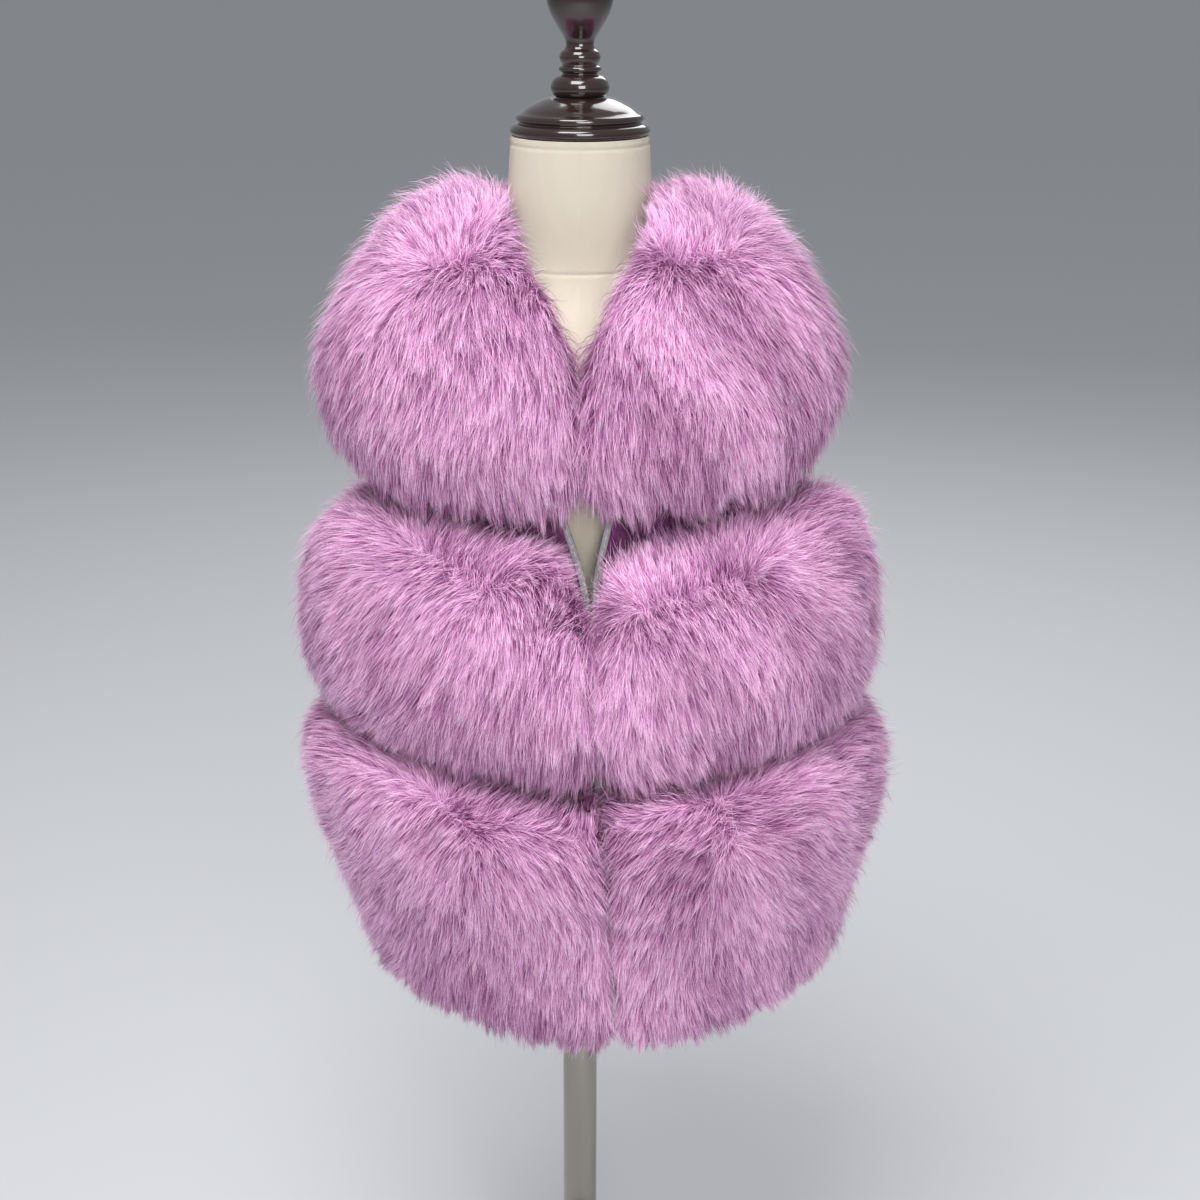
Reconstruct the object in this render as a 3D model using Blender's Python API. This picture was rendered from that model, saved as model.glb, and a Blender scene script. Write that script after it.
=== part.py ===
"""Child's fur gilet in three tiers, on a limbless dress form with a stand.

The gilet is a suede bodice (two fronts and a back) with white edge tapes, and three
tiers of long-haired fur sewn round it, each cut as a left front, a right front and a
back. The form is a linen torso with a turned cap and finial, on a pole and a plate.

All sizes below are in millimetres. Height is above the floor, x is towards the
wearer's left and the front faces -y. Every level of the body is an ellipse, and a
point on it is found from its angle: 0 at the front, 90 degrees at the side seam and
180 at the back. The gilet is built from its bodice outwards: a fur tier is a closed
section of heights and reaches, carried round the bodice from the front edge.
"""

import math

import bmesh
import bpy
import numpy as np

# ---- sizes that drive the whole part ----

SUEDE_THICK = 2.0
TAPE_THICK = 0.8
TAPE_WIDTH = 4.5
SEAM_GAP = 0.3          # between pieces that are sewn together
PELT_INSET = 6.0        # from an edge tape to the pelts of the lower tiers
PELT_CLEAR = 2.2        # behind the yoke fur, where the shoulder curves both ways
PANEL_STEPS = 9         # bodice columns in a quarter of the body
FUR_STEPS = 18          # fur columns in a quarter of the body, twice as many
FORM_STEPS = 32         # columns round the form

DIP_ANGLE = 38.0        # how far round the body the front drop reaches
HANG_TOP = 790.0        # above this height the gilet sits square on the form
HANG_SLOPE = 0.042      # below it the gilet hangs a little to its left

LOCK_WAVE = 2.6         # depth of the broad locks in the fur
TUFT_WAVE = 3.0         # unevenness of the hair tips at a tier's lower edge

FRONT_LENGTH = 240.0    # of a front, from its edge round to the side seam

POLE_RADIUS = 12.5
PLATE_RADIUS = 140.0
PLATE_THICK = 12.0
PLATE_EDGE = 3.0


def table(names, rows):
    """Turn rows of numbers into named columns."""
    columns = np.array(rows, float).T
    return dict(zip(names.split(), columns))


# Inner face of the suede bodice.
BODICE = table("height half_width half_depth", [
    (415, 142.0, 112.0),
    (490, 141.0, 111.0),
    (570, 139.5, 109.5),
    (640, 137.0, 106.5),
    (702, 129.0, 99.0),
    (715, 127.0, 96.6),
    (725, 125.6, 94.8),
    (740, 123.8, 92.4),
    (760, 122.0, 90.0),
    (790, 122.5, 84.0),
    (810, 123.0, 78.0),
    (820, 121.6, 74.2),
    (826, 119.0, 71.0),
    (838, 107.0, 64.5),
    (850, 90.0, 58.5),
    (860, 74.0, 54.0),
    (868, 60.5, 51.2),
    (874, 52.6, 49.8),
])

# Front opening: where its middle lies across the body, and how far it is open.
OPENING = table("height middle half_gap", [
    (380, 9.0, 0.15),
    (575, 4.0, 0.15),
    (682, 2.0, 0.15),
    (740, 1.0, 16.5),
    (800, 0.0, 31.5),
    (838, 0.0, 39.5),
    (860, 0.0, 43.5),
    (874, 0.0, 45.5),
])

# How much lower the gilet hangs at the middle of its front.
FRONT_DROP = table("height drop", [
    (360, 20.0),
    (575, 13.0),
    (640, 6.0),
    (700, 0.0),
])

# Armhole: the angle at which the front and back panels end at each height.
ARMHOLE = table("height side_angle", [
    (715, 90),
    (725, 76),
    (740, 67),
    (760, 62),
    (790, 62),
    (810, 68),
    (820, 77),
    (826, 90),
])

# Section of the middle tier, from its lower edge out and up to its upper edge.
MIDDLE_FUR = table("height reach", [
    (574, 6),
    (571, 20),
    (575, 36),
    (587, 49),
    (606, 58),
    (631, 61),
    (657, 61),
    (681, 56),
    (700, 46),
    (712, 32),
    (716, 18),
    (711, 7),
])
MIDDLE_PELT = table("height", [(704,), (695,), (640,), (582,)])

# How much its upper edge rises or drops, by degrees from the middle of the front.
MIDDLE_TOP = table("turned left_rise right_rise", [
    (0, -16, -12),
    (4, -9, -3),
    (8, -2, 5),
    (14, 6, 8),
    (20, 9, 10),
    (36, 13, 13),
    (58, 12, 12),
    (74, 4, 4),
    (90, 0, 0),
    (110, 7, 7),
    (180, 9, 9),
])
TOP_MOVES_FROM = 640.0  # below this height the middle tier keeps its section

# How much further the hair at its upper outer corners is brushed up and out.
MIDDLE_BRUSH = table("turned left_up left_out right_up right_out", [
    (38, 0, 0, 0, 0),
    (54, 9, 9, 3, 4),
    (68, 26, 19, 11, 8),
    (77, 26, 19, 11, 8),
    (85, 4, 5, 2, 2),
    (90, 0, 0, 0, 0),
])
BRUSHED_REACH = 40.0    # hair that reaches less than this is brushed less

# Section of the hem tier, in the same order.
HEM_FUR = table("height reach", [
    (401, 5),
    (386, 11),
    (381, 20),
    (389, 27),
    (409, 32),
    (431, 38),
    (460, 46),
    (490, 57),
    (517, 63),
    (542, 65),
    (558, 60),
    (568, 48),
    (570, 33),
    (567, 18),
    (566, 7),
])
HEM_PELT = table("height", [(568,), (490,), (420,)])

# Ends of the lower tiers at the front opening: how far from the edge, how full the
# fur is there, and how much its lower edge is drawn up.
FRONT_END = table("distance fullness lift", [
    (0, 0.84, 9),
    (5, 0.93, 4),
    (14, 0.985, 1),
    (28, 1.0, 0),
])

# Section of the top tier: how far along the pelt from its lower edge to the neck,
# and the direction (degrees above level) and reach of the fur, at front and side.
# The last columns are the gap to the middle line and the reach behind the neck.
TOP_FUR = table("share front_lift front_reach side_lift side_reach edge back_share", [
    (0.00, -66, 23, -84, 57, 12.0, 1.00),
    (0.04, -40, 40, -62, 64, 5.0, 1.00),
    (0.12, -20, 53, -43, 65, 1.2, 1.00),
    (0.22, -6, 60, -26, 63, 0.2, 1.00),
    (0.34, 6, 62, -10, 60, 0.2, 1.00),
    (0.46, 18, 62, 8, 58, 1.5, 1.00),
    (0.58, 32, 62, 26, 60, 8.0, 0.98),
    (0.69, 46, 64, 43, 65, 19.0, 0.95),
    (0.79, 60, 66, 58, 67, 32.0, 0.91),
    (0.88, 75, 65, 73, 66, 39.0, 0.87),
    (0.95, 87, 60, 86, 60, 42.0, 0.83),
    (1.00, 97, 52, 97, 52, 41.0, 0.80),
])
TOP_LOW = 754.0         # lower edge of its pelt on the chest and back
TOP_SIDE = 824.0        # and on the shoulder, above the armhole
TOP_NECK = 871.0        # neck edge of its pelt
TOP_TURN = (46.0, 88.0) # angles between which the lower edge climbs

# The rounded front edge of the top tier: how far it turns back under itself, and
# how full the fur is there.
TOP_EDGE = table("turn fullness", [
    (0.90, 0.12),
    (0.35, 0.38),
    (0.00, 0.63),
    (0.02, 0.84),
    (0.25, 0.96),
    (0.62, 1.00),
])

# Linen torso with its neck.
TORSO = table("height half_width half_depth", [
    (440, 96.0, 74.0),
    (444, 102.0, 80.0),
    (456, 107.0, 84.0),
    (520, 114.0, 88.0),
    (600, 107.0, 80.0),
    (650, 104.0, 77.0),
    (700, 110.0, 83.0),
    (740, 117.0, 87.0),
    (760, 119.0, 87.4),
    (790, 121.2, 82.4),
    (810, 121.8, 76.6),
    (820, 120.3, 72.8),
    (826, 117.6, 69.6),
    (838, 105.8, 63.2),
    (850, 88.8, 57.2),
    (860, 72.8, 52.8),
    (868, 59.2, 50.0),
    (876, 49.6, 48.4),
    (886, 47.4, 47.4),
    (912, 47.0, 47.0),
    (954, 44.5, 44.5),
])

# Turned wood: the cap on the neck, then the finial on the cap.
NECK_CAP = table("height radius", [
    (954.3, 42.6),
    (956.0, 44.6),
    (959.5, 44.6),
    (961.5, 42.4),
    (962.3, 39.8),
    (963.2, 39.8),
    (964.4, 41.0),
    (967.0, 40.6),
    (968.6, 37.6),
    (972.0, 33.0),
    (976.0, 24.6),
    (977.6, 20.0),
])
FINIAL = table("height radius", [
    (977.9, 15.6),
    (980.0, 17.6),
    (983.6, 18.8),
    (987.6, 18.0),
    (990.6, 15.0),
    (991.8, 11.6),
    (993.0, 11.6),
    (994.2, 13.4),
    (996.4, 13.4),
    (997.6, 11.4),
    (999.4, 12.2),
    (1002.4, 13.2),
    (1005.6, 12.2),
    (1008.2, 9.4),
    (1012.6, 9.2),
    (1018.6, 12.8),
    (1028.0, 18.2),
    (1036.0, 20.9),
    (1043.0, 21.2),
    (1049.0, 19.4),
    (1054.0, 15.2),
    (1057.4, 8.8),
    (1058.6, 3.6),
])
TURNED_STEPS = 24


# ---- surfaces ----

def read(columns, name, at, key="height"):
    """Read a table's column at any height, straight between its rows."""
    return float(np.interp(at, columns[key], columns[name]))


def ease(value):
    """A smooth step from 0 to 1."""
    value = min(max(value, 0.0), 1.0)
    return value * value * (3.0 - 2.0 * value)


def wrap(angle):
    """The same direction as an angle between -180 and 180 degrees."""
    return (angle + math.pi) % (2 * math.pi) - math.pi


def front_share(angle):
    """1 at the middle of the front, falling to 0 at the sides."""
    return math.exp(-(math.degrees(wrap(angle)) / DIP_ANGLE) ** 2)


def hang(height):
    """How far the gilet has swung to its left at a height."""
    return HANG_SLOPE * max(0.0, HANG_TOP - height)


def bodice_point(angle, level, out=0.0, rise=0.0):
    """A point outside the bodice's inner face, for an angle in radians."""
    half_width = read(BODICE, "half_width", level) + out
    half_depth = read(BODICE, "half_depth", level) + out
    height = level + rise
    across = half_width * math.sin(angle) + hang(height)
    height -= read(FRONT_DROP, "drop", height) * front_share(angle)
    return np.array((across, -half_depth * math.cos(angle), height))


def on_bodice(angle, level, offset):
    """A point on the bodice moved out square to its surface."""
    small_angle, small_level = 1e-3, 0.5
    here = bodice_point(angle, level)
    side = bodice_point(angle + small_angle, level) - here
    low = bodice_point(angle, level - small_level)
    high = bodice_point(angle, level + small_level)
    normal = np.cross(side, high - low)
    return here + offset * normal / np.linalg.norm(normal)


def start_angle(across, level, out=0.0):
    """The angle at which the surface is a given distance across the body."""
    return math.asin(across / (read(BODICE, "half_width", level) + out))


def front_edge(level, inset=0.0, side=1):
    """Distance across the body of one front edge; side is 1 for the wearer's left."""
    half_gap = read(OPENING, "half_gap", level)
    return read(OPENING, "middle", level) + side * (half_gap + inset)


def locks(angle, height):
    """Broad uneven waves of the fur round the body, between -1 and 1."""
    slow = math.sin(23.0 * angle + 0.021 * height)
    quick = math.sin(37.0 * angle - 0.034 * height + 1.3)
    return 0.6 * slow + 0.4 * quick


# ---- closed bodies ----

def new_object(name, points, faces, material):
    """Make one closed body, with its faces turned outward."""
    mesh = bpy.data.meshes.new(name)
    mesh.from_pydata([tuple(0.001 * c for c in point) for point in points], [], faces)
    work = bmesh.new()
    work.from_mesh(mesh)
    bmesh.ops.recalc_face_normals(work, faces=work.faces)
    bmesh.ops.triangulate(work, faces=work.faces, ngon_method="EAR_CLIP")
    if work.calc_volume(signed=True) < 0:
        bmesh.ops.reverse_faces(work, faces=work.faces)
    work.to_mesh(mesh)
    work.free()
    mesh.materials.append(material)
    body = bpy.data.objects.new(name, mesh)
    bpy.context.scene.collection.objects.link(body)
    return body


def sheet_body(name, outer, inner, material):
    """Close two matching grids of points into a wall. Grids are lists of rows."""
    rows, columns = len(outer), len(outer[0])
    points = [p for row in outer for p in row] + [p for row in inner for p in row]
    back = rows * columns

    def at(row, column, offset=0):
        return offset + row * columns + column

    faces = []
    for row in range(rows - 1):
        for column in range(columns - 1):
            corners = (row, column), (row, column + 1), (row + 1, column + 1), (row + 1, column)
            faces.append([at(r, c) for r, c in corners])
            faces.append([at(r, c, back) for r, c in reversed(corners)])
    rim = [(0, c) for c in range(columns)]
    rim += [(r, columns - 1) for r in range(1, rows)]
    rim += [(rows - 1, c) for c in range(columns - 2, -1, -1)]
    rim += [(r, 0) for r in range(rows - 2, 0, -1)]
    for here, after in zip(rim, rim[1:] + rim[:1]):
        faces.append([at(*here), at(*here, back), at(*after, back), at(*after)])
    return new_object(name, points, faces, material)


def loop_body(name, loops, material):
    """Join closed loops of points one after another, and cap both ends."""
    count = len(loops[0])
    points = [p for loop in loops for p in loop]
    faces = [list(range(count))]
    for ring in range(len(loops) - 1):
        for i in range(count):
            j = (i + 1) % count
            low, high = ring * count, (ring + 1) * count
            faces.append([low + i, low + j, high + j, high + i])
    faces.append([(len(loops) - 1) * count + i for i in reversed(range(count))])
    return new_object(name, points, faces, material)


def round_body(name, columns, steps, material):
    """A body whose levels are ellipses or circles about the upright axis."""
    widths = columns.get("half_width", columns.get("radius"))
    depths = columns.get("half_depth", columns.get("radius"))
    loops = []
    for height, half_width, half_depth in zip(columns["height"], widths, depths):
        loops.append([
            (
                half_width * math.sin(2 * math.pi * i / steps),
                -half_depth * math.cos(2 * math.pi * i / steps),
                height,
            )
            for i in range(steps)
        ])
    return loop_body(name, loops, material)


def plain_material(name, colour, roughness, metallic=0.0):
    """A material with one colour."""
    material = bpy.data.materials.new(name)
    material.use_nodes = True
    shader = material.node_tree.nodes["Principled BSDF"]
    shader.inputs["Base Color"].default_value = (*colour, 1.0)
    shader.inputs["Roughness"].default_value = roughness
    shader.inputs["Metallic"].default_value = metallic
    material.diffuse_color = (*colour, 1.0)
    return material


# ---- bodice and edge tapes ----

def front_levels():
    """The heights at which the bodice is cut into rows."""
    levels = set(BODICE["height"]) | {682.0, 800.0}
    return sorted(levels)


def panel_angles(level, side, whole_back):
    """The angles of one row of a panel."""
    seam = math.radians(read(ARMHOLE, "side_angle", level))
    gap = SEAM_GAP / 2 / read(BODICE, "half_width", level)
    if whole_back:
        first, last = math.pi - seam + gap, math.pi + seam - gap
        return np.linspace(first, last, 2 * PANEL_STEPS + 1)
    first = start_angle(front_edge(level, side=side), level)
    second = start_angle(front_edge(level, TAPE_WIDTH, side), level)
    return np.append(first, np.linspace(second, side * (seam - gap), PANEL_STEPS + 1))


def bodice_panel(name, side, whole_back, material):
    """One suede panel: a front, or the whole back."""
    outer, inner = [], []
    for level in front_levels():
        angles = panel_angles(level, side, whole_back)
        outer.append([on_bodice(a, level, SUEDE_THICK) for a in angles])
        inner.append([on_bodice(a, level, 0.0) for a in angles])
    return sheet_body(name, outer, inner, material)


def edge_tape(name, side, material):
    """The white tape along a front edge, laid on the suede."""
    outer, inner = [], []
    base = SUEDE_THICK + SEAM_GAP
    share = 1.0 - SEAM_GAP / TAPE_WIDTH
    for level in front_levels():
        for row, offset in ((outer, base + TAPE_THICK), (inner, base)):
            near, far = (on_bodice(a, level, offset) for a in panel_angles(level, side, False)[:2])
            row.append([near, near + (far - near) * share])
    return sheet_body(name, outer, inner, material)


# ---- lower tiers ----

def front_turns():
    """Fur columns of a front: close together at its edge, then even."""
    even = [i / FUR_STEPS for i in range(2, FUR_STEPS + 1)]
    near = [d / FRONT_LENGTH for d in FRONT_END["distance"]]
    return [t for t in near if t < even[0]] + even


def pelt_point(turn, level, side, whole_back):
    """A point just outside the suede, on the flat facets between its columns."""
    columns = panel_angles(level, side, whole_back)
    place = turn * (len(columns) - 1) if whole_back else 1 + turn * (len(columns) - 2)
    column = min(int(place + 1e-9), len(columns) - 2)
    offset = SUEDE_THICK + SEAM_GAP
    first = on_bodice(columns[column], level, offset)
    second = on_bodice(columns[column + 1], level, offset)
    return first + (second - first) * (place - column)


def side_of(angle):
    """Which half of the body an angle lies on."""
    return "left" if angle > 0 else "right"


def moved_height(height, fur, angle):
    """A height of a lower tier after its upper edge has risen or dropped."""
    if fur is not MIDDLE_FUR or height < TOP_MOVES_FROM:
        return height
    turned = wrap(angle)
    rise = read(MIDDLE_TOP, f"{side_of(turned)}_rise", abs(math.degrees(turned)), "turned")
    return height + rise * top_share(height)


def top_share(height):
    """0 below the part of the middle tier that moves, and 1 at its top."""
    share = (height - TOP_MOVES_FROM) / (MIDDLE_FUR["height"].max() - TOP_MOVES_FROM)
    return max(share, 0.0)


def brushed(height, fur, reach, angle):
    """How far the hair of the middle tier's upper corners is brushed up and out."""
    if fur is not MIDDLE_FUR:
        return 0.0, 0.0
    turned = wrap(angle)
    share = top_share(height) * min(1.0, reach / BRUSHED_REACH)
    up, out = (
        read(MIDDLE_BRUSH, f"{side_of(turned)}_{way}", abs(math.degrees(turned)), "turned")
        for way in ("up", "out")
    )
    return up * share, out * share


def tuft(height, fur, reach, angle):
    """How far the hair tips stand off the even edge at the bottom of a tier."""
    near_low = ease(1.0 - (height - fur["height"].min()) / 40.0)
    wave = math.sin(41.0 * angle + 0.7) * math.cos(13.0 * angle)
    return TUFT_WAVE * max(wave, -0.5) * near_low * min(1.0, reach / 20.0)


def tier_loop(fur, pelt, turn, angle_at, side, end):
    """One closed section of a lower tier; end gives its fullness and lift."""
    fullness, lift = end
    whole_back = angle_at is back_angle
    hem = BODICE["height"][0]
    loop = []
    for height, reach in zip(fur["height"], fur["reach"]):
        angle = angle_at(turn, max(height, hem), SUEDE_THICK + reach * fullness, side)
        wave = LOCK_WAVE * locks(angle, height) * min(1.0, reach / 45.0)
        low_share = ease(1.0 - (height - fur["height"].min()) / 40.0)
        brushed_up, brushed_out = brushed(height, fur, reach, angle)
        height = moved_height(height, fur, angle) + tuft(height, fur, reach, angle)
        height += lift * low_share + brushed_up
        out = SUEDE_THICK + reach * fullness + wave + brushed_out
        level = max(height, hem)
        loop.append(bodice_point(angle, level, out, height - level))
    pelt_turn = turn if whole_back else max(turn, PELT_INSET / FRONT_LENGTH)
    for height in pelt["height"]:
        angle = angle_at(turn, height, SUEDE_THICK, side)
        level = moved_height(height, fur, angle)
        loop.append(pelt_point(pelt_turn, level, side, whole_back))
    return loop


def front_angle(turn, level, out, side):
    """The angle of one fur column; turn is 0 at the opening and 1 at the side seam."""
    first = start_angle(front_edge(level, 0.1, side), level, out)
    seam = math.pi / 2 - SEAM_GAP / 2 / (read(BODICE, "half_width", level) + out)
    return first + (side * seam - first) * turn


def back_angle(turn, level, out, side):
    """The same behind the side seams."""
    gap = SEAM_GAP / 2 / (read(BODICE, "half_width", level) + out)
    first, last = math.pi / 2 + gap, 1.5 * math.pi - gap
    return first + (last - first) * turn


def front_tier(name, fur, pelt, side, material):
    """The part of a lower tier from the front opening to the side seam."""
    loops = []
    for turn in front_turns():
        distance = turn * FRONT_LENGTH
        end = [read(FRONT_END, n, distance, "distance") for n in ("fullness", "lift")]
        loops.append(tier_loop(fur, pelt, turn, front_angle, side, end))
    return loop_body(name, loops, material)


def back_tier(name, fur, pelt, material):
    """The part of a lower tier from one side seam to the other."""
    turns = np.linspace(0.0, 1.0, 2 * FUR_STEPS + 1)
    loops = [tier_loop(fur, pelt, turn, back_angle, 1, (1.0, 0.0)) for turn in turns]
    return loop_body(name, loops, material)


# ---- top tier ----

def top_low_edge(angle):
    """Height of the top pelt's lower edge, which climbs over the armhole."""
    turned = abs(math.degrees(angle))
    turned = 180.0 - turned if turned > 90.0 else turned
    climb = ease((turned - TOP_TURN[0]) / (TOP_TURN[1] - TOP_TURN[0]))
    return TOP_LOW + (TOP_SIDE - TOP_LOW) * climb, climb


def top_point(row, angle, fullness):
    """A point on the outside of the top tier."""
    low, climb = top_low_edge(angle)
    level = low + (TOP_NECK - low) * TOP_FUR["share"][row]
    lift = TOP_FUR["front_lift"][row]
    lift += (TOP_FUR["side_lift"][row] - lift) * climb
    reach = TOP_FUR["front_reach"][row]
    reach += (TOP_FUR["side_reach"][row] - reach) * climb
    behind = ease((abs(math.degrees(angle)) - 95.0) / 55.0)
    reach *= 1.0 + (TOP_FUR["back_share"][row] - 1.0) * behind
    reach += LOCK_WAVE * locks(angle, level) * min(1.0, fullness) * (1.0 - climb * 0.5)
    out = reach * math.cos(math.radians(lift))
    least = PELT_CLEAR + SUEDE_THICK + 1.6
    out = least + (out + SUEDE_THICK - least) * fullness
    return bodice_point(angle, level, out, reach * math.sin(math.radians(lift)) * fullness)


def top_pelt_point(row, angle):
    """The matching point on the pelt, just outside the suede."""
    low, _ = top_low_edge(angle)
    level = low + (TOP_NECK - low) * TOP_FUR["share"][row]
    return on_bodice(angle, level, SUEDE_THICK + PELT_CLEAR)


def top_front(name, side, material):
    """The part of the top tier from the neck opening to the shoulder seam."""
    outer, inner = [], []
    edges = len(TOP_EDGE["turn"])
    regular = FUR_STEPS - 6
    for row in range(len(TOP_FUR["share"])):
        level = TOP_LOW + (TOP_NECK - TOP_LOW) * TOP_FUR["share"][row]
        lift = math.radians(TOP_FUR["front_lift"][row])
        out = SUEDE_THICK + TOP_FUR["front_reach"][row] * math.cos(lift)
        pelt_edge = front_edge(level, TAPE_WIDTH + 0.6, side)
        pelt_start = start_angle(pelt_edge, level, SUEDE_THICK)
        fur_edge = side * TOP_FUR["edge"][row]
        fur_start = start_angle(fur_edge, level, out)
        seam = side * (math.pi / 2 - SEAM_GAP / 2 / read(BODICE, "half_width", level))
        outer_row, inner_row = [], []
        for i in range(edges + regular + 1):
            if i < edges:
                turn = TOP_EDGE["turn"][i]
                fullness = TOP_EDGE["fullness"][i]
                angle = fur_start + (pelt_start - fur_start) * turn
            else:
                fullness = 1.0
                angle = pelt_start + (seam - pelt_start) * (i - edges) / regular
            outer_row.append(top_point(row, angle, fullness))
            share = i / (edges + regular)
            inner_row.append(top_pelt_point(row, pelt_start + (seam - pelt_start) * share))
        outer.append(outer_row)
        inner.append(inner_row)
    return sheet_body(name, outer, inner, material)


def top_back(name, material):
    """The part of the top tier behind the shoulder seams."""
    outer, inner = [], []
    steps = 2 * (FUR_STEPS - 6)
    for row in range(len(TOP_FUR["share"])):
        gap = SEAM_GAP / 2 / 120.0
        angles = np.linspace(math.pi / 2 + gap, 1.5 * math.pi - gap, steps + 1)
        outer.append([top_point(row, wrap(a), 1.0) for a in angles])
        inner.append([top_pelt_point(row, wrap(a)) for a in angles])
    return sheet_body(name, outer, inner, material)


# ---- the part ----

def clear_scene():
    for body in list(bpy.data.objects):
        bpy.data.objects.remove(body, do_unlink=True)


def build():
    clear_scene()
    fur = plain_material("fur_orchid", (0.72, 0.36, 0.66), 0.75)
    suede = plain_material("suede_purple", (0.17, 0.035, 0.21), 0.85)
    tape = plain_material("tape_white", (0.86, 0.85, 0.86), 0.8)
    linen = plain_material("linen_cream", (0.74, 0.66, 0.52), 0.85)
    wood = plain_material("wood_dark", (0.022, 0.012, 0.010), 0.22)
    chrome = plain_material("chrome_steel", (0.78, 0.78, 0.78), 0.12, 1.0)

    bodice_panel("bodice_front_left", 1, False, suede)
    bodice_panel("bodice_front_right", -1, False, suede)
    bodice_panel("bodice_back", 1, True, suede)
    edge_tape("edge_tape_left", 1, tape)
    edge_tape("edge_tape_right", -1, tape)

    top_front("fur_top_left", 1, fur)
    top_front("fur_top_right", -1, fur)
    top_back("fur_top_back", fur)
    front_tier("fur_middle_left", MIDDLE_FUR, MIDDLE_PELT, 1, fur)
    front_tier("fur_middle_right", MIDDLE_FUR, MIDDLE_PELT, -1, fur)
    back_tier("fur_middle_back", MIDDLE_FUR, MIDDLE_PELT, fur)
    front_tier("fur_hem_left", HEM_FUR, HEM_PELT, 1, fur)
    front_tier("fur_hem_right", HEM_FUR, HEM_PELT, -1, fur)
    back_tier("fur_hem_back", HEM_FUR, HEM_PELT, fur)

    round_body("form_torso", TORSO, FORM_STEPS, linen)
    round_body("neck_cap", NECK_CAP, TURNED_STEPS, wood)
    round_body("finial", FINIAL, TURNED_STEPS, wood)
    pole = table("height radius", [
        (PLATE_THICK + SEAM_GAP, POLE_RADIUS),
        (TORSO["height"][0] - SEAM_GAP, POLE_RADIUS),
    ])
    round_body("pole", pole, TURNED_STEPS, chrome)
    plate = table("height radius", [
        (0.0, PLATE_RADIUS),
        (PLATE_THICK - PLATE_EDGE, PLATE_RADIUS),
        (PLATE_THICK, PLATE_RADIUS - PLATE_EDGE),
    ])
    round_body("base_plate", plate, 2 * TURNED_STEPS, chrome)


build()
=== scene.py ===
# %% [markdown]
# # A fur gilet on a dress form
#
# This lesson dresses a imported frame of solids as a photograph shows the real object: a
# child's gilet in three tiers of orchid-pink fur, on a linen dress form with a turned
# finial and a chrome pole. Each cell makes one thing and prints what it made, so you can
# run them one after another and look at the result.
#
# We start with the frame. It gives every solid as a named object.

import math

import bmesh
import bpy
import numpy as np
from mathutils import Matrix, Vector
from mathutils.bvhtree import BVHTree
from mathutils.kdtree import KDTree


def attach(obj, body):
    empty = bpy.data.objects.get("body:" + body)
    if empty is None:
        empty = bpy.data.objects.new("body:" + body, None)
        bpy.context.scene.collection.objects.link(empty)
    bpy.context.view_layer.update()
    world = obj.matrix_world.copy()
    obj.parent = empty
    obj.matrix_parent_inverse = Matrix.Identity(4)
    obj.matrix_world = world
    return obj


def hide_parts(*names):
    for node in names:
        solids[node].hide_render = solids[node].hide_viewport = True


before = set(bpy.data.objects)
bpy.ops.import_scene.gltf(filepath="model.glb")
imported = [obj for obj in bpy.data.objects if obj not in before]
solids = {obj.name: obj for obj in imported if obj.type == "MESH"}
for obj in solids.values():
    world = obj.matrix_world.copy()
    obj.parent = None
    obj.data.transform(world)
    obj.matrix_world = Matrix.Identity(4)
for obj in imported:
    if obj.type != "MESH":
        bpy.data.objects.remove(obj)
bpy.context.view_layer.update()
scene = bpy.context.scene
print("frame:", len(solids), "solids")

# %% [markdown]
# ## Camera
#
# The photograph looks down at the gilet by about 19 degrees from 1.38 metres. Its pole
# stands a little left of the middle, which the camera's sideways shift gives without
# turning the picture.

# %%
# The camera
LOOK_DOWN = math.radians(18.8)
DISTANCE = 1.38
AIM_HEIGHT = 0.640
PHOTO_WIDTH = 1200.0
POLE_LEFT_OF_MIDDLE = 20.0  # in pixels of the photograph

camera = bpy.data.objects.new("camera", bpy.data.cameras.new("camera"))
camera.data.sensor_width = 36.0
camera.data.lens = 60.0
camera.data.shift_x = POLE_LEFT_OF_MIDDLE / PHOTO_WIDTH
camera.location = (
    0.0,
    -DISTANCE * math.cos(LOOK_DOWN),
    AIM_HEIGHT + DISTANCE * math.sin(LOOK_DOWN),
)
camera.rotation_euler = (math.pi / 2 - LOOK_DOWN, 0.0, 0.0)
scene.collection.objects.link(camera)
scene.camera = camera
print("camera: lens", camera.data.lens, "mm")

# %% [markdown]
# ## Floor and light
#
# A pale floor and three big soft lamps make a plain studio. Big lamps matter for fur:
# a small one would give every hair a hard shadow.

# %%
# A pale floor, three soft lamps and a dim sky


def plain_shader(name, colour, roughness, metallic=0.0):
    """A new material with its Principled shader."""
    material = bpy.data.materials.new(name)
    material.use_nodes = True
    shader = material.node_tree.nodes["Principled BSDF"]
    shader.inputs["Base Color"].default_value = (*colour, 1.0)
    shader.inputs["Roughness"].default_value = roughness
    shader.inputs["Metallic"].default_value = metallic
    return material, shader


def soft_lamp(name, place, size, power, colour=(1.0, 1.0, 1.0)):
    """A square lamp that points at the middle of the gilet."""
    lamp = bpy.data.objects.new(name, bpy.data.lights.new(name, "AREA"))
    lamp.data.size = size
    lamp.data.energy = power
    lamp.data.color = colour
    lamp.location = place
    aim = Vector((0.0, 0.0, AIM_HEIGHT)) - lamp.location
    lamp.rotation_euler = aim.to_track_quat("-Z", "Y").to_euler()
    scene.collection.objects.link(lamp)


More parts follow.
